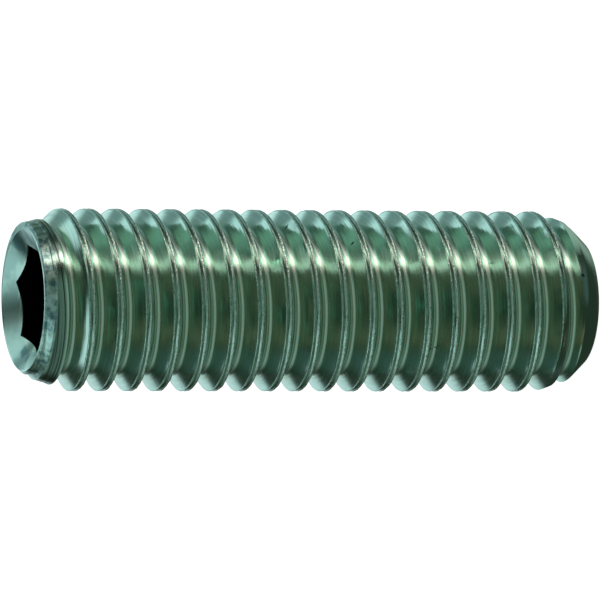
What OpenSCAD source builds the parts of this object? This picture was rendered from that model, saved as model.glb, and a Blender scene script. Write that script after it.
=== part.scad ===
// Hexagon socket set screw with a flat point, also called a grub screw.
// It stands on its point, with the axis along +Z and the socket at the top.

/* [Screw] */
// Length over all, from the point to the rim of the socket
screw_len = 16.05; // [10:0.05:20]

/* [Rolled thread] */
// Diameter over the crests
thread_d = 4.98; // [4.8:0.01:5.2]
// Axial distance from one crest to the next
pitch = 0.8; // [0.7:0.05:0.9]
// Angle between the two flanks of the groove
thread_angle = 60; // [55:1:65]
// Width of the flat that runs along the crest
crest_w = 0.1; // [0.06:0.01:0.14]
// Radius of the rounded root
root_r = 0.115; // [0.08:0.005:0.13]
// Height above the point at which a crest faces +X
crest_phase = 0.68; // [0:0.01:0.68]

/* [Socket end] */
// Diameter of the end face, where the lead begins
rim_d = 4.06; // [3.95:0.01:4.3]
// Length from the end face over which the blank tapers out to the full thread
lead_len = 0.85; // [0.6:0.05:1.2]

/* [Hexagon socket] */
// Width across the flats of the socket
socket_af = 2.56; // [2.4:0.01:2.7]
// Depth of the flats, measured from the rim
socket_depth = 3; // [2:0.1:4]
// Angle of the cone that the punch leaves at the bottom of the socket
socket_floor_angle = 120; // [90:1:150]
// Turn of the nearest hexagon corner from +X
socket_turn = 12.5; // [0:0.5:60]
// Diameter of the countersink at the rim
countersink_d = 3.9; // [3.6:0.01:3.94]
// Angle of the countersink
countersink_angle = 120; // [90:1:130]

/* [Point] */
// Diameter of the flat point
point_d = 3.5; // [3.2:0.05:3.7]
// Angle of the point's chamfer from its flat face
point_angle = 45; // [30:1:50]
// Diameter at which the chamfer gives way to a slower taper, where the thread was rolled short of material
point_shoulder_d = 4.48; // [4.3:0.01:4.7]
// Length from the point over which that taper reaches the full thread
point_lead_len = 1.3; // [1:0.05:1.8]

/* [Hidden] */
$fn = 96;

// Facets to one turn of the thread, and along the arc of its root
turn_steps = 36;
root_steps = 3;

// How far a cutter or the blank passes the surface that it trims
pass = 0.1;

thread_r = thread_d / 2;
flank_angle = thread_angle / 2;
flank_run = pitch / 2 - crest_w / 2 - root_r * cos(flank_angle);
flank_drop = flank_run / tan(flank_angle);
root_centre_r = thread_r - flank_drop + root_r * sin(flank_angle);

// Two turns below the first crest on +X, so that the open end of the helix is clear of the point
thread_z0 = crest_phase - 2 * pitch;
thread_turns = ceil((screw_len - thread_z0) / pitch) + 1;
thread_rows = thread_turns * turn_steps;

rim_r = rim_d / 2;
lead_slope = (thread_r - rim_r) / lead_len;
point_r = point_d / 2;
point_shoulder_r = point_shoulder_d / 2;
point_chamfer_h = (point_shoulder_r - point_r) * tan(point_angle);
point_slope = (thread_r - point_shoulder_r) / (point_lead_len - point_chamfer_h);
blank_r = thread_r + pass;
socket_corner_r = socket_af / 2 / cos(30);
socket_floor_z = screw_len - socket_depth;

// Outline of one groove as [height from the crest's middle, radius]: the crest flat, then the arc of the root
function groove() = concat(
    [[-crest_w / 2, thread_r], [crest_w / 2, thread_r]],
    [for (i = [0 : root_steps])
        let (a = (90 - flank_angle) * (2 * i / root_steps - 1))
        [pitch / 2 + root_r * sin(a), root_centre_r - root_r * cos(a)]]
);

// The groove's outline turned to one row of the helix
function groove_row(outline, row) =
    let (a = 360 * row / turn_steps, rise = thread_z0 + pitch * row / turn_steps)
    [for (p = outline) [p[1] * cos(a), p[1] * sin(a), rise + p[0]]];

// Solid helix, longer than the screw at both ends. The last edge of a row meets the first edge one turn later.
module helix_solid() {
    outline = groove();
    n = len(outline);
    last_row = thread_rows;
    foot = n * (last_row + 1);
    top = foot + 1;
    points = concat(
        [for (row = [0 : last_row]) each groove_row(outline, row)],
        [[0, 0, thread_z0], [0, 0, thread_z0 + pitch * thread_turns]]
    );
    strips = [
        for (row = [0 : last_row - 1], i = [0 : n - 2])
            let (a = row * n + i, b = a + n)
            each [[a, a + 1, b + 1], [a, b + 1, b]]
    ];
    joins = [
        for (row = [0 : last_row - turn_steps - 1])
            let (a = row * n + n - 1, b = a + n, c = (row + turn_steps) * n, d = c + n)
            each [[a, c, d], [a, d, b]]
    ];
    foot_loop = concat(
        [for (row = [0 : turn_steps]) row * n],
        [for (i = [n - 1 : -1 : 1]) i]
    );
    top_loop = concat(
        [for (row = [last_row - turn_steps : last_row]) row * n + n - 1],
        [for (i = [n - 2 : -1 : 0]) last_row * n + i]
    );
    foot_fan = [
        for (i = [0 : len(foot_loop) - 1])
            [foot, foot_loop[i], foot_loop[(i + 1) % len(foot_loop)]]
    ];
    top_fan = [
        for (i = [0 : len(top_loop) - 1])
            [top, top_loop[(i + 1) % len(top_loop)], top_loop[i]]
    ];
    polyhedron(points, concat(strips, joins, foot_fan, top_fan));
}

// The turned blank: flat point with its chamfer and taper, body past the crests, tapered lead and end face
module blank() {
    rotate_extrude()
        polygon([
            [0, 0],
            [point_r, 0],
            [point_shoulder_r, point_chamfer_h],
            [blank_r, point_lead_len + pass / point_slope],
            [blank_r, screw_len - lead_len - pass / lead_slope],
            [rim_r, screw_len],
            [0, screw_len]
        ]);
}

// What the punch leaves: the countersink, the hexagon and the cone at its bottom
module socket() {
    sink_r = countersink_d / 2;
    sink_h = sink_r / tan(countersink_angle / 2);
    translate([0, 0, screw_len - sink_h])
        cylinder(h = sink_h + pass, r1 = 0, r2 = sink_r + pass * tan(countersink_angle / 2));
    translate([0, 0, socket_floor_z])
        rotate([0, 0, socket_turn])
            cylinder(h = socket_depth + pass, r = socket_corner_r, $fn = 6);
    floor_h = socket_af / 2 / tan(socket_floor_angle / 2);
    translate([0, 0, socket_floor_z - floor_h])
        cylinder(h = floor_h, r1 = 0, r2 = socket_af / 2);
}

module grub_screw() {
    color([0.52, 0.58, 0.55])
        difference() {
            intersection() {
                helix_solid();
                blank();
            }
            socket();
        }
}

grub_screw();
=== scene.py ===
import math

import bpy
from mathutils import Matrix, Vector


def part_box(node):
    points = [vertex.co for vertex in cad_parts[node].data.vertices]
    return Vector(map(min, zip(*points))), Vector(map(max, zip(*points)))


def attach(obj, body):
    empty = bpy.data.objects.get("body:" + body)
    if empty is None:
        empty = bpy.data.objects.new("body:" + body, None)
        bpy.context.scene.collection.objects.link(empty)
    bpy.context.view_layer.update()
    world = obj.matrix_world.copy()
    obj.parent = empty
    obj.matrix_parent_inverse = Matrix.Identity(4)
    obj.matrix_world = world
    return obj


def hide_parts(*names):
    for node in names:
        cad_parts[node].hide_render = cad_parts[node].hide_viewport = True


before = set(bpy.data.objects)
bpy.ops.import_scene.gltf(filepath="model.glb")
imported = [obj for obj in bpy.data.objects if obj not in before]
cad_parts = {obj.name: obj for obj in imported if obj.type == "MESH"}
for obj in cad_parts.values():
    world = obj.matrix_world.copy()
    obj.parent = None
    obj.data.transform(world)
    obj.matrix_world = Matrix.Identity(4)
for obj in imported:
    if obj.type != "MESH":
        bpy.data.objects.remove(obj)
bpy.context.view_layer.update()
screw_low, screw_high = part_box("grub_screw")
MM = 0.001

# Camera
# The photograph's own view. The screw stands on its point, the lens looks down on it a little from in front,
# and the camera is turned on its side, so that the socket points to the left of the picture.
CAMERA_ELEVATION = 18.82
CAMERA_ROLL = -0.22
CAMERA_DISTANCE = 285.2 * MM
CLIP_NEAR = 10 * MM
CLIP_FAR = 20.0
FRAME_PIXELS = 600
PIXELS_PER_MM = 36.49
SENSOR_WIDTH = 36.0
AIM_HEIGHT = 8.0 * MM
AIM_LEFT_OF_AXIS = 0.098 * MM
AIM_ABOVE_AXIS = 0.019 * MM

lens = bpy.data.cameras.new("lens")
lens.sensor_width = SENSOR_WIDTH
lens.lens = SENSOR_WIDTH * PIXELS_PER_MM * (CAMERA_DISTANCE / MM) / FRAME_PIXELS
lens.clip_start = CLIP_NEAR
lens.clip_end = CLIP_FAR
camera = bpy.data.objects.new("camera", lens)
bpy.context.scene.collection.objects.link(camera)
camera.rotation_mode = "ZYX"
camera.rotation_euler = (math.radians(90 - CAMERA_ELEVATION), 0, -math.radians(90 + CAMERA_ROLL))
turn = camera.rotation_euler.to_matrix()
right, up, back = turn.col[0], turn.col[1], turn.col[2]
camera.location = (Vector((0, 0, AIM_HEIGHT)) + back * CAMERA_DISTANCE
                   - right * AIM_LEFT_OF_AXIS + up * AIM_ABOVE_AXIS)
bpy.context.scene.camera = camera

# Wire blank
# A length of stainless wire with a flat chamfered point, and at the other end the stepped taper on which the
# thread starts. The cutter sets the point, and the header the rim of the end face, a little off the axis.
SCREW_LENGTH = screw_high.z - screw_low.z
THREAD_RADIUS = 2.49 * MM
RIM_RADIUS = 2.02 * MM
RIM_ROUNDING = 0.05 * MM
RIM_SHIFT = 0.08 * MM
RIM_SHIFT_FROM = 15.9 * MM
RIM_STEP = 0.02 * MM
RIM_STEPS = 4
# Depth from the end face, and the radius there
LEAD = [(0.25 * MM, 2.165 * MM), (0.42 * MM, 2.20 * MM), (0.74 * MM, 2.29 * MM), (0.95 * MM, 2.49 * MM)]
POINT_RADIUS = 1.71 * MM
POINT_ROUNDING = 0.06 * MM
POINT_STEPS = 3
# From the axis
POINT_ANGLE = 45
POINT_SHOULDER_RADIUS = 2.2 * MM
POINT_SHOULDER_ROUNDING = 0.5 * MM
POINT_SHOULDER_STEPS = 5
POINT_SHIFT = -0.04 * MM
POINT_LEAD_LENGTH = 1.3 * MM
CLEARANCE = 0.1 * MM
WELD = 0.0005 * MM
TURNED_STEPS = 192


def arc(radius_at, height, rounding, first, last, steps):
    """Points of an arc in the XZ plane. Its angles, in degrees, go from outwards towards up."""
    angles = [math.radians(first + (last - first) * i / steps) for i in range(steps + 1)]
    return [(radius_at + rounding * math.cos(a), 0, height + rounding * math.sin(a)) for a in angles]


def outline(name, points):
    """A line of edges, drawn by extruding one vertex from point to point."""
    bpy.ops.object.select_all(action="DESELECT")
    bpy.ops.mesh.primitive_plane_add(size=MM)
    piece = bpy.context.object
    piece.name = piece.data.name = name
    bpy.ops.object.mode_set(mode="EDIT")
    bpy.ops.mesh.select_mode(type="VERT")
    bpy.ops.mesh.merge(type="CENTER")
    bpy.ops.transform.translate(value=points[0])
    for start, end in zip(points, points[1:]):
        step = Vector(end) - Vector(start)
        bpy.ops.mesh.extrude_region_move(TRANSFORM_OT_translate={"value": step})
    bpy.ops.object.mode_set(mode="OBJECT")
    return piece


def turned(name, points):
    """A closed solid, spun from its outline, which starts and ends on the axis."""
    piece = outline(name, points)
    bpy.ops.object.mode_set(mode="EDIT")
    bpy.ops.mesh.select_all(action="SELECT")
    bpy.ops.mesh.spin(steps=TURNED_STEPS, angle=2 * math.pi, center=(0, 0, 0), axis=(0, 0, 1))
    bpy.ops.mesh.select_all(action="SELECT")
    bpy.ops.mesh.remove_doubles(threshold=WELD)
    bpy.ops.mesh.normals_make_consistent(inside=False)
    bpy.ops.object.mode_set(mode="OBJECT")
    return piece


def push_sideways(piece, shift, from_height, to_height):
    """Moves all of a turned piece between two heights off the axis, along X."""
    bpy.ops.object.mode_set(mode="EDIT")
    bpy.ops.mesh.select_mode(type="VERT")
    bpy.ops.mesh.select_all(action="DESELECT")
    bpy.ops.object.mode_set(mode="OBJECT")
    for vertex in piece.data.vertices:
        vertex.select = from_height < vertex.co.z < to_height
    bpy.ops.object.mode_set(mode="EDIT")
    bpy.ops.transform.translate(value=(shift, 0, 0))
    bpy.ops.object.mode_set(mode="OBJECT")


chamfer_angle = math.radians(POINT_ANGLE)
point_chamfer = (POINT_SHOULDER_RADIUS - POINT_RADIUS) / math.tan(chamfer_angle)
point_slope = (THREAD_RADIUS - POINT_SHOULDER_RADIUS) / (POINT_LEAD_LENGTH - point_chamfer)
taper = math.atan(point_slope)
shoulder_middle = (chamfer_angle + taper) / 2
shoulder_reach = POINT_SHOULDER_ROUNDING / math.cos((chamfer_angle - taper) / 2)
shoulder_radius = POINT_SHOULDER_RADIUS - shoulder_reach * math.cos(shoulder_middle)
shoulder_height = point_chamfer + shoulder_reach * math.sin(shoulder_middle)
body_radius = THREAD_RADIUS + CLEARANCE
lead = [(radius, 0, SCREW_LENGTH - depth) for depth, radius in reversed(LEAD)]
step_radius, _, step_height = lead[-1]
lead_angle = math.degrees(math.atan2(step_radius - RIM_RADIUS, SCREW_LENGTH - step_height))
blank = turned("blank", [
    (0, 0, 0),
    *arc(POINT_RADIUS, POINT_ROUNDING, POINT_ROUNDING, -90, -POINT_ANGLE, POINT_STEPS),
    *arc(shoulder_radius, shoulder_height, POINT_SHOULDER_ROUNDING, -POINT_ANGLE, -math.degrees(taper),
         POINT_SHOULDER_STEPS),
    (body_radius, 0, POINT_LEAD_LENGTH + CLEARANCE / point_slope),
    (body_radius, 0, lead[0][2] - CLEARANCE),
    *lead,
    (step_radius - RIM_STEP, 0, step_height + RIM_STEP),
    *arc(RIM_RADIUS - RIM_ROUNDING / 2, SCREW_LENGTH - RIM_ROUNDING, RIM_ROUNDING, lead_angle, 90, RIM_STEPS),
    (0, 0, SCREW_LENGTH),
])
push_sideways(blank, RIM_SHIFT, RIM_SHIFT_FROM, SCREW_LENGTH + CLEARANCE)
push_sideways(blank, POINT_SHIFT, -CLEARANCE, point_chamfer + CLEARANCE)

# Hexagon socket
# Countersunk and punched by the header in one blow, so that both sit a little off the axis. The punch leaves
# a cone at the bottom.
COUNTERSINK_RADIUS = 1.93 * MM
COUNTERSINK_ANGLE = 120
COUNTERSINK_ROUNDING = 0.03 * MM
COUNTERSINK_STEPS = 3
COUNTERSINK_SHIFT = -0.03 * MM
SOCKET_ACROSS_FLATS = 2.6 * MM
SOCKET_DEPTH = 3.0 * MM
SOCKET_TURN = 12.5
SOCKET_SHIFT = 0.03 * MM
PUNCH_TIP_ANGLE = 120
FACING_DOWN = -0.9


def trim(piece, cutter, operation):
    """Cuts the piece with a closed cutter, which is then gone."""
    bpy.context.view_layer.objects.active = piece
    cut = piece.modifiers.new("trim", "BOOLEAN")
    cut.operation = operation
    cut.solver = "EXACT"
    cut.object = cutter
    bpy.ops.object.modifier_apply(modifier="trim")
    bpy.data.objects.remove(cutter)


sink_half = math.radians(COUNTERSINK_ANGLE / 2)
sink_lip = arc(COUNTERSINK_RADIUS + COUNTERSINK_ROUNDING / 2, SCREW_LENGTH - COUNTERSINK_ROUNDING,
               COUNTERSINK_ROUNDING, 180 - COUNTERSINK_ANGLE / 2, 90, COUNTERSINK_STEPS)
sink_apex = sink_lip[0][2] - sink_lip[0][0] / math.tan(sink_half)
above_rim = SCREW_LENGTH + CLEARANCE
countersink = turned("countersink", [
    (0, 0, sink_apex), *sink_lip, (sink_lip[-1][0], 0, above_rim), (0, 0, above_rim)])
push_sideways(countersink, COUNTERSINK_SHIFT, 0, SCREW_LENGTH + 2 * CLEARANCE)
trim(blank, countersink, "DIFFERENCE")

corner_radius = SOCKET_ACROSS_FLATS / 2 / math.cos(math.pi / 6)
tip_height = corner_radius / math.tan(math.radians(PUNCH_TIP_ANGLE / 2))
bpy.ops.object.select_all(action="DESELECT")
bpy.ops.mesh.primitive_cylinder_add(
    vertices=6, radius=corner_radius, depth=SOCKET_DEPTH, rotation=(0, 0, math.radians(SOCKET_TURN - 30)),
    location=(SOCKET_SHIFT, 0, SCREW_LENGTH - SOCKET_DEPTH / 2))
punch = bpy.context.object
bpy.ops.object.transform_apply(location=True, rotation=True, scale=True)
bpy.ops.object.mode_set(mode="EDIT")
bpy.ops.mesh.select_mode(type="FACE")
bpy.ops.mesh.select_all(action="DESELECT")
bpy.ops.object.mode_set(mode="OBJECT")
for face in punch.data.polygons:
    face.select = face.normal.z < FACING_DOWN
bpy.ops.object.mode_set(mode="EDIT")
bpy.ops.mesh.extrude_region_move(TRANSFORM_OT_translate={"value": (0, 0, -tip_height)})
bpy.ops.mesh.merge(type="CENTER")
bpy.ops.object.mode_set(mode="OBJECT")
trim(blank, punch, "DIFFERENCE")

# Rolled thread
# The dies press the grooves into the blank and push the metal up from both sides. Along the middle of the
# crest the two lips meet in a fold, uneven in height and wandering a little from side to side.
PITCH = 0.8 * MM
CREST_PHASE = 0.68 * MM
CREST_LOW_EDGE = -0.112 * MM
CREST_HIGH_EDGE = 0.055 * MM
LOW_LIP = 0.03 * MM
LOW_LIP_END = 30
LOW_LIP_STEPS = 5
HIGH_LIP = 0.018 * MM
HIGH_LIP_START = -60
HIGH_LIP_STEPS = 6
FOLD_DEPTH = 0.04 * MM
FOLD_HEIGHT = -0.03 * MM
ROOT_ROUNDING = 0.115 * MM
ROOT_STEPS = 7
UPWARD_FLANK = 30
DOWNWARD_FLANK = 25
FLANK_HOLD = 0.015 * MM
THREAD_STEPS = 96
LIP_WAVES = {"X": 0.02 * MM, "Y": 0.02 * MM, "Z": 0.026 * MM}
WAVE_LENGTH = 0.25 * MM

upward_run = math.tan(math.radians(UPWARD_FLANK))
downward_run = math.tan(math.radians(DOWNWARD_FLANK))
downward_edge = PITCH + CREST_LOW_EDGE
apex = (CREST_HIGH_EDGE * downward_run + downward_edge * upward_run) / (upward_run + downward_run)
apex_radius = THREAD_RADIUS - (apex - CREST_HIGH_EDGE) / upward_run
root_reach = ROOT_ROUNDING / math.sin(math.radians(UPWARD_FLANK + DOWNWARD_FLANK) / 2)
root_tilt = math.radians(DOWNWARD_FLANK - UPWARD_FLANK) / 2
root_radius = apex_radius + root_reach * math.cos(root_tilt)
root_height = apex + root_reach * math.sin(root_tilt)
low_lip_height = CREST_LOW_EDGE + LOW_LIP * math.tan(math.radians(90 - DOWNWARD_FLANK) / 2)
high_lip_height = CREST_HIGH_EDGE - HIGH_LIP * math.tan(math.radians(90 - UPWARD_FLANK) / 2)
low_lip = arc(THREAD_RADIUS - LOW_LIP, low_lip_height, LOW_LIP, DOWNWARD_FLANK - 90, LOW_LIP_END,
              LOW_LIP_STEPS)
high_lip = arc(THREAD_RADIUS - HIGH_LIP, high_lip_height, HIGH_LIP, HIGH_LIP_START, 90 - UPWARD_FLANK,
               HIGH_LIP_STEPS)
root = arc(root_radius, root_height, ROOT_ROUNDING, 270 - UPWARD_FLANK, 90 + DOWNWARD_FLANK, ROOT_STEPS)
fold = (THREAD_RADIUS - FOLD_DEPTH, 0, FOLD_HEIGHT)
next_crest = (low_lip[0][0], 0, low_lip[0][2] + PITCH)
flank_ends = [high_lip[-1], root[0], root[-1], next_crest]
flank_holds = []
for start, end in zip(flank_ends[::2], flank_ends[1::2]):
    along_flank = (Vector(end) - Vector(start)).normalized() * FLANK_HOLD
    flank_holds += [tuple(Vector(start) + along_flank), tuple(Vector(end) - along_flank)]
thread_start = CREST_PHASE - 2 * PITCH
turns = math.ceil((SCREW_LENGTH - thread_start) / PITCH) + 1
groove = [*low_lip, fold, *high_lip, *flank_holds[:2], *root, *flank_holds[2:], next_crest]
thread = outline("grub_screw_steel", [(x, 0, z + thread_start) for x, y, z in groove])
thread.vertex_groups.new(name="crest").add(list(range(len(low_lip) + 1 + len(high_lip))), 1.0, "REPLACE")
winding = thread.modifiers.new("winding", "SCREW")
winding.axis = "Z"
winding.angle = 2 * math.pi
winding.screw_offset = PITCH
winding.iterations = turns
winding.steps = winding.render_steps = THREAD_STEPS
winding.use_smooth_shade = False
bpy.ops.object.modifier_apply(modifier="winding")
bpy.ops.object.mode_set(mode="EDIT")
bpy.ops.mesh.select_all(action="SELECT")
bpy.ops.mesh.remove_doubles(threshold=WELD)
bpy.ops.mesh.select_all(action="DESELECT")
bpy.ops.object.mode_set(mode="OBJECT")
for direction, height in LIP_WAVES.items():
    waves = bpy.data.textures.new("lip_waves_" + direction, "CLOUDS")
    waves.noise_scale = WAVE_LENGTH
    waves.noise_depth = 2
    lip_waves = thread.modifiers.new("lip_waves", "DISPLACE")
    lip_waves.texture = waves
    lip_waves.texture_coords = "LOCAL"
    lip_waves.vertex_group = "crest"
    lip_waves.direction = direction
    lip_waves.strength = height
    lip_waves.mid_level = 0.5
    bpy.ops.object.modifier_apply(modifier="lip_waves")


def select_open_edges(piece, wanted):
    """Selects, in edit mode, the open edges whose middle passes a test, and nothing else."""
    bpy.ops.object.mode_set(mode="EDIT")
    bpy.ops.mesh.select_mode(type="EDGE")
    bpy.ops.mesh.select_all(action="DESELECT")
    bpy.ops.mesh.select_non_manifold(extend=False, use_wire=False, use_multi_face=False,
                                     use_non_contiguous=False, use_verts=False)
    bpy.ops.object.mode_set(mode="OBJECT")
    points = piece.data.vertices
    for edge in piece.data.edges:
        middle = (points[edge.vertices[0]].co + points[edge.vertices[1]].co) / 2
        edge.select = edge.select and wanted(middle)
    bpy.ops.object.mode_set(mode="EDIT")


for at_point in (True, False):
    select_open_edges(thread, lambda middle: (middle.z < SCREW_LENGTH / 2) == at_point)
    bpy.ops.mesh.extrude_region_move(TRANSFORM_OT_translate={"value": (0, 0, 0)})
    bpy.ops.mesh.merge(type="CENTER")
bpy.ops.mesh.select_mode(type="VERT")
bpy.ops.mesh.select_all(action="SELECT")
bpy.ops.mesh.normals_make_consistent(inside=False)
bpy.ops.object.mode_set(mode="OBJECT")
trim(thread, blank, "INTERSECT")

# Steel
# Stainless steel as it comes from the dies, with streaked flanks, painted shade on the flanks towards the
# roots, a painted sheen along the roots, painted shade in the fold between rubbed lips and dark beads on
# them, a mottled band where the header struck it, darker spots in the countersink, painted shade on the land
# at the end face and in the socket, and a few specks. Lengths in the material are in millimetres.
STEEL = (0.51, 0.77, 0.68, 1)
# Painted shade on the flanks towards the roots
ROOT_SHADE_STEEL = (0.43, 0.60, 0.43, 1)
# Painted shade in the fold along the crest, also the dark beads on the lips
FOLD_SHADE_AND_DIRT = (0.28, 0.44, 0.38, 1)
# Rubbed lips and streaks, and the painted sheen along the roots
RUBBED_STEEL_AND_SHEEN = (0.80, 1.0, 0.94, 1)
HEADED_STEEL_PALE = (0.50, 0.80, 0.74, 1)
HEADED_STEEL_DARK = (0.12, 0.28, 0.30, 1)
# Painted shade on the land at the end face
LAND_SHADE = (0.05, 0.11, 0.105, 1)
# Painted shade in the socket
SOCKET_SHADE = (0.02, 0.03, 0.025, 1)
DIRT = (0.03, 0.05, 0.04, 1)
# Clouds to a pitch, clouds to a turn, detail
STREAKS = (22.0, 9.0, 1.0)
FINE_STREAKS = (30.0, 14.0, 0.0)
LEDGES = (24.0, 1.5, 1.0)
# Clouds to a millimetre, detail
GRAIN = (14.0, 3.0)
PATCHES = (1.6, 2.0)
MOTTLE = (6.0, 3.0)
SPARKLE = (26.0, 2.0)
# Where each zone of the surface begins to show, and where it shows in full. The root band's are in pitches.
THREAD_BELOW_END = (0.28, 0.34)
SOCKET_RADIUS = (1.6, 1.52)
SOCKET_BELOW_SINK = (0.01, 0.05)
SINK_RADIUS = (1.93, 1.90)
BAND_RADIUS = (1.95, 2.0)
LAND_HALF_WIDTH = (0.20, 0.13)
LAND_HEIGHT = (15.2, 15.3)
ROOT_SHADE_PAST_CREST = (0.10, 0.36)
ROOT_BAND_FIRST = (0.36, 0.42)
ROOT_BAND_LAST = (0.56, 0.52)
FOLD_HALF_WIDTH = (0.014, 0.004)
FOLD_RADIUS = (2.3, 2.4)
LIPS_BELOW_CREST = (0.035, 0.012)
# The same for the clouds that break up a zone
ROOT_SHADE_PATCHES = (0.35, 0.65)
ROOT_SHADE_STREAKS = (0.1, 0.6)
RUBBED_STREAKS = (0.55, 0.75)
RUBBED_BEADS = (0.48, 0.58)
DIRTY_BEADS = (0.48, 0.38)
PALE_MOTTLE = (0.50, 0.62)
DARK_MOTTLE = (0.64, 0.36)
DARK_PATCHES = (0.62, 0.42)
SINK_PATCHES = (0.45, 0.62)
DARK_LEDGES = (0.60, 0.44)
# X, Y and size of each darker spot in the countersink
SINK_DARK_SPOTS = [(1.66, -0.05, 0.30), (1.55, 0.75, 0.45), (-1.38, 0.60, 0.26), (-1.60, 0.25, 0.16)]
# Height, degrees around from the camera's side, and size of each speck
SPECKS = [(5.11, -37.4, 0.035), (4.86, -40.0, 0.05), (4.73, -38.3, 0.035), (7.16, 43.7, 0.05),
          (7.0, -72.0, 0.06), (8.83, 64.4, 0.05), (3.6, -50.7, 0.04), (3.47, 32.4, 0.04), (0.63, 18.8, 0.07)]
SINK_SPOT_RAGGED = 0.2
SPECK_RAGGED = 0.04
ROUGHNESS = 0.17
BUMP_DEPTH = 0.006 * MM
SMOOTH_ANGLE = 24


class Value:
    """A socket that takes part in sums. Each operator adds the Math node that works it out."""

    def __init__(self, tree, socket):
        self.tree = tree
        self.socket = socket

    def __add__(self, other):
        return math_node(self.tree, "ADD", self, other)

    def __radd__(self, other):
        return math_node(self.tree, "ADD", other, self)

    def __sub__(self, other):
        return math_node(self.tree, "SUBTRACT", self, other)

    def __rsub__(self, other):
        return math_node(self.tree, "SUBTRACT", other, self)

    def __mul__(self, other):
        return math_node(self.tree, "MULTIPLY", self, other)

    def __rmul__(self, other):
        return math_node(self.tree, "MULTIPLY", other, self)

    def __truediv__(self, other):
        return math_node(self.tree, "DIVIDE", self, other)

    def __pow__(self, other):
        return math_node(self.tree, "POWER", self, other)

    def __abs__(self):
        return math_node(self.tree, "ABSOLUTE", self)


def add_node(tree, kind, settings=None, **values):
    """Adds a node, sets its settings, then fills its sockets, by name or as _0, _1 and so on."""
    node = tree.nodes.new(kind)
    for name, setting in (settings or {}).items():
        setattr(node, name, setting)
    for name, value in values.items():
        entry = node.inputs[int(name[1:])] if name[1:].isdigit() else node.inputs[name.replace("_", " ")]
        if isinstance(value, Value):
            tree.links.new(value.socket, entry)
        else:
            entry.default_value = value
    return [Value(tree, socket) for socket in node.outputs]


def math_node(tree, operation, *values):
    """One Math node, on sockets and plain numbers alike."""
    entries = {f"_{i}": value for i, value in enumerate(values)}
    return add_node(tree, "ShaderNodeMath", {"operation": operation}, **entries)[0]


def fade(value, start, end):
    """A soft step, 0 at start and 1 at end."""
    return add_node(value.tree, "ShaderNodeMapRange", {"interpolation_type": "SMOOTHSTEP"},
                    Value=value, From_Min=start, From_Max=end)[0]


def mix(tree, share, under, over):
    """The colour over laid on the colour under, by the share."""
    return add_node(tree, "ShaderNodeMix", {"data_type": "RGBA"}, _0=share, _6=under, _7=over)[2]


def noise(tree, place, scale, detail, dimensions="3D"):
    """Clouds from 0 to 1 around 0.5."""
    return add_node(tree, "ShaderNodeTexNoise", {"noise_dimensions": dimensions},
                    Vector=place, Scale=scale, Detail=detail)[0]


steel = bpy.data.materials.new("steel")
steel.use_nodes = True
tree = steel.node_tree
tree.nodes.clear()
place = add_node(tree, "ShaderNodeVectorMath", {"operation": "SCALE"},
                 _0=add_node(tree, "ShaderNodeTexCoord")[3], _3=1 / MM)[0]
x, y, z = add_node(tree, "ShaderNodeSeparateXYZ", _0=place)
radius = (x * x + y * y) ** 0.5
around = math_node(tree, "ARCTAN2", y, x) / (2 * math.pi)
wound = (z - CREST_PHASE / MM) / (PITCH / MM) - around
across = wound - math_node(tree, "FLOOR", wound)
along = wound - across + around
past_crest = math_node(tree, "WRAP", wound, 0.5, -0.5) * (PITCH / MM)


def drawn_out(across_scale, along_scale, detail):
    """Clouds drawn out along the thread."""
    at = add_node(tree, "ShaderNodeCombineXYZ", _0=across * across_scale, _1=along * along_scale)[0]
    return noise(tree, at, 1.0, detail, "2D")


streaks = drawn_out(*STREAKS)
fine_streaks = drawn_out(*FINE_STREAKS)
ledges = drawn_out(*LEDGES)
grain = noise(tree, place, *GRAIN)
patches = noise(tree, place, *PATCHES)
mottle = noise(tree, place, *MOTTLE)
sparkle = noise(tree, place, *SPARKLE)

crest_radius = THREAD_RADIUS / MM
sink_slope = math.tan(sink_half)
below_end = SCREW_LENGTH / MM - z
below_sink = (SCREW_LENGTH - COUNTERSINK_RADIUS / sink_slope) / MM + radius / sink_slope - z
from_fold = abs(past_crest - FOLD_HEIGHT / MM)
on_thread = fade(below_end, *THREAD_BELOW_END)
in_socket = fade(radius, *SOCKET_RADIUS) * fade(below_sink, *SOCKET_BELOW_SINK)
in_sink = (1 - on_thread) * fade(radius, *SINK_RADIUS) * (1 - in_socket)
band = (1 - on_thread) * fade(radius, *BAND_RADIUS)
on_land = fade(abs(past_crest), *LAND_HALF_WIDTH) * fade(z, *LAND_HEIGHT) * on_thread
root_band = fade(across, *ROOT_BAND_FIRST) * fade(across, *ROOT_BAND_LAST) * on_thread
# Painted shade: the flanks darken towards the root, less in the root band, broken up by patches and streaks
root_shade = fade(past_crest, *ROOT_SHADE_PAST_CREST) * on_thread * (1 - 0.7 * root_band)
root_shade = root_shade * (0.5 + 0.5 * fade(patches, *ROOT_SHADE_PATCHES)) * fade(streaks, *ROOT_SHADE_STREAKS)
# Painted shade in the fold between the lips
fold_shade = fade(from_fold, *FOLD_HALF_WIDTH) * fade(radius, *FOLD_RADIUS) * on_thread
lips = fade(crest_radius - radius, *LIPS_BELOW_CREST) * on_thread
specks = 0.0
for height, azimuth, size in SPECKS:
    aside = (around - (azimuth - 90) / 360) * (2 * math.pi * crest_radius)
    above = z - height
    reach = (aside * aside + above * above) ** 0.5 + SPECK_RAGGED * (grain - 0.5)
    specks = math_node(tree, "MAXIMUM", specks, fade(reach, size, size / 2))

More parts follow.
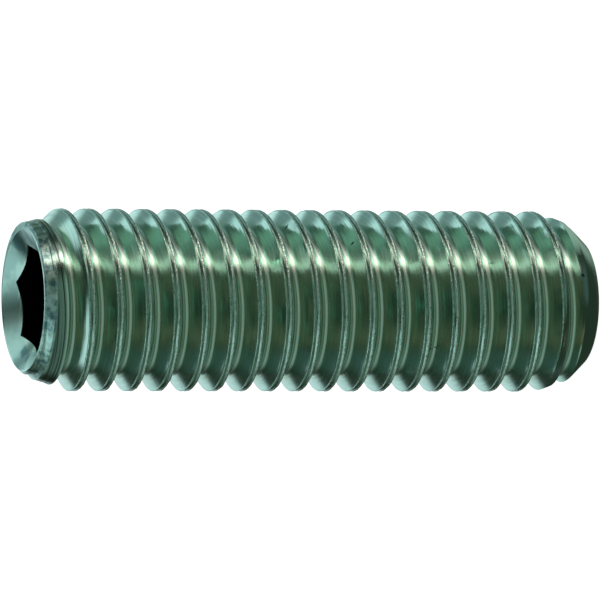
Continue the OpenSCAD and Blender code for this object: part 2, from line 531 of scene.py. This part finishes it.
layers = [
    # zone, share, colour
    # painted shade on the flanks towards the roots
    (root_shade, 1.0, ROOT_SHADE_STEEL),
    (on_thread * fade(fine_streaks, *RUBBED_STREAKS), 0.2, RUBBED_STEEL_AND_SHEEN),
    # painted sheen along the root band
    (root_band, 0.4, RUBBED_STEEL_AND_SHEEN),
    (lips * fade(sparkle, *RUBBED_BEADS), 1.0, RUBBED_STEEL_AND_SHEEN),
    (lips * fade(sparkle, *DIRTY_BEADS), 0.8, FOLD_SHADE_AND_DIRT),
    # painted shade in the fold
    (fold_shade, 1.0, FOLD_SHADE_AND_DIRT),
    (band * fade(mottle, *PALE_MOTTLE), 1.0, HEADED_STEEL_PALE),
    (band * (0.3 + 0.7 * fade(patches, *DARK_PATCHES)) * fade(mottle, *DARK_MOTTLE), 1.0, HEADED_STEEL_DARK),
    (in_sink * fade(patches, *SINK_PATCHES), 0.35, HEADED_STEEL_DARK),
]
# Darker spots at the listed places in the countersink
for at_x, at_y, size in SINK_DARK_SPOTS:
    reach = ((x - at_x) * (x - at_x) + (y - at_y) * (y - at_y)) ** 0.5 + SINK_SPOT_RAGGED * (mottle - 0.5)
    layers.append((in_sink * fade(reach, size, 0.4 * size), 0.9, HEADED_STEEL_DARK))
layers += [
    # painted shade: the land near the end face is painted almost black, with darker ledges
    (on_land * (0.6 + 0.4 * fade(ledges, *DARK_LEDGES)), 1.0, LAND_SHADE),
    # painted shade: the socket is painted near black
    (in_socket, 1.0, SOCKET_SHADE),
    (specks, 0.9, DIRT),
]
colour = STEEL
for zone, share, over in layers:
    colour = mix(tree, zone * share, colour, over)

roughness = ROUGHNESS + 0.10 * (streaks - 0.5) * on_thread + 0.05 * root_shade + 0.12 * root_band + 0.06 * lips
roughness = roughness + 0.14 * band + 0.12 * in_sink
relief = on_thread * (0.4 * streaks + 0.06 * fine_streaks) + 0.03 * grain + 1.4 * on_land * ledges
relief = relief + 2.5 * lips * sparkle + 0.9 * band * mottle - 0.3 * specks
bump = add_node(tree, "ShaderNodeBump", Height=relief, Distance=BUMP_DEPTH, Strength=1.0)[0]
shader = add_node(tree, "ShaderNodeBsdfPrincipled", Base_Color=colour, Metallic=1.0, Roughness=roughness,
                  Normal=bump)[0]
add_node(tree, "ShaderNodeOutputMaterial", Surface=shader)
thread.data.materials.clear()
thread.data.materials.append(steel)
bpy.ops.object.select_all(action="DESELECT")
thread.select_set(True)
bpy.context.view_layer.objects.active = thread
bpy.ops.object.shade_smooth_by_angle(angle=math.radians(SMOOTH_ANGLE))
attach(thread, "root")
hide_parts("grub_screw")

# White table
# A white sweep far wider than the picture. The steel doesn't mirror it, because in the photograph the screw
# is cut out from a darker place.
TABLE_WIDTH = 4.0
TABLE_GLOW = 0.92
TABLE_WHITE = (0.8, 0.8, 0.8, 1)

bpy.ops.object.select_all(action="DESELECT")
bpy.ops.mesh.primitive_plane_add(size=TABLE_WIDTH)
table = bpy.context.object
table.name = table.data.name = "table"
table.visible_glossy = False
table.visible_shadow = False
paint = bpy.data.materials.new("white_paint")
paint.use_nodes = True
paint.node_tree.nodes.clear()
matt = add_node(paint.node_tree, "ShaderNodeBsdfDiffuse", Color=TABLE_WHITE)[0]
glow = add_node(paint.node_tree, "ShaderNodeEmission", Strength=TABLE_GLOW)[0]
both = add_node(paint.node_tree, "ShaderNodeAddShader", _0=matt, _1=glow)[0]
add_node(paint.node_tree, "ShaderNodeOutputMaterial", Surface=both)
table.data.materials.append(paint)

# Studio light
# A dim room with soft lamps around the screw: a tall warm strip at the side that is up in the picture, banks
# overhead and behind, and weaker ones all around. They shine from below too, as the steel doesn't mirror the
# table.
ROOM = (0.025, 0.037, 0.025, 1)
WHITE = (1, 1, 1, 1)
WARM = (1.30, 1.0, 0.90, 1)
COOL = (0.84, 1.0, 1.04, 1)
GREEN = (0.80, 1.0, 0.85, 1)
TEAL = (0.70, 1.0, 1.05, 1)
BROWN = (1.50, 1.0, 0.60, 1)
LAMPS = [
    # tint, degrees around, half width, lowest, highest, soft edge around, soft edge in height, brightness
    (WARM, 62.5, 6.5, -54, 58, 2.5, 6, 1.15),
    (WARM, 62.5, 6.5, -16, 38, 2.5, 8, 1.7),
    (WARM, 75, 8, -42, 58, 7, 8, 0.32),
    (GREEN, -45, 80, -9, 38, 14, 4, 0.28),
    (BROWN, -15, 65, -46, -18, 20, 5, 0.07),
    (COOL, -115, 60, 40, 75, 12, 3, 0.8),
    (COOL, 147, 16, 34, 62, 8, 3, 0.80),
    (TEAL, 150, 40, 0, 40, 12, 10, 0.24),
    (COOL, 180, 22, -14, 16, 6, 3, 0.72),
    (GREEN, 130, 38, -48, -12, 12, 8, 0.42),
    (COOL, 0, 28, 50, 75, 12, 10, 0.3),
    (TEAL, 60, 60, -90, -62, 20, 8, 0.06),
    (COOL, 80, 9, -24, -6, 5, 4, 0.6),
    (COOL, -108, 22, -40, -12, 14, 6, 0.07),
    (BROWN, -62, 18, -54, -36, 12, 5, 0.035),
    (BROWN, 32, 14, -58, -42, 10, 5, 0.03),
]

tent = bpy.data.worlds.new("tent")
tent.use_nodes = True
tree = tent.node_tree
tree.nodes.clear()
direction = add_node(tree, "ShaderNodeTexCoord")[0]
x, y, z = add_node(tree, "ShaderNodeSeparateXYZ", _0=direction)
height = math_node(tree, "ARCSINE", z)
light = add_node(tree, "ShaderNodeBackground", Color=ROOM, Strength=1.0)[0]
for tint, middle, half_width, lowest, highest, soft_around, soft_height, level in LAMPS:
    turn_to = math.radians(middle)
    ahead = x * math.sin(turn_to) - y * math.cos(turn_to)
    aside = x * math.cos(turn_to) + y * math.sin(turn_to)
    away = abs(math_node(tree, "ARCTAN2", aside, ahead))
    inside = fade(away, math.radians(half_width + soft_around), math.radians(half_width - soft_around))
    low = fade(height, math.radians(lowest - soft_height), math.radians(lowest + soft_height))
    high = fade(height, math.radians(highest + soft_height), math.radians(highest - soft_height))
    lamp = add_node(tree, "ShaderNodeBackground", Color=tint, Strength=inside * low * high * level)[0]
    light = add_node(tree, "ShaderNodeAddShader", _0=light, _1=lamp)[0]
white = add_node(tree, "ShaderNodeBackground", Color=WHITE, Strength=1.0)[0]
to_camera = add_node(tree, "ShaderNodeLightPath")[0]
light = add_node(tree, "ShaderNodeMixShader", _0=to_camera, _1=light, _2=white)[0]
add_node(tree, "ShaderNodeOutputWorld", Surface=light)
bpy.context.scene.world = tent
bpy.context.scene.view_settings.view_transform = "Standard"
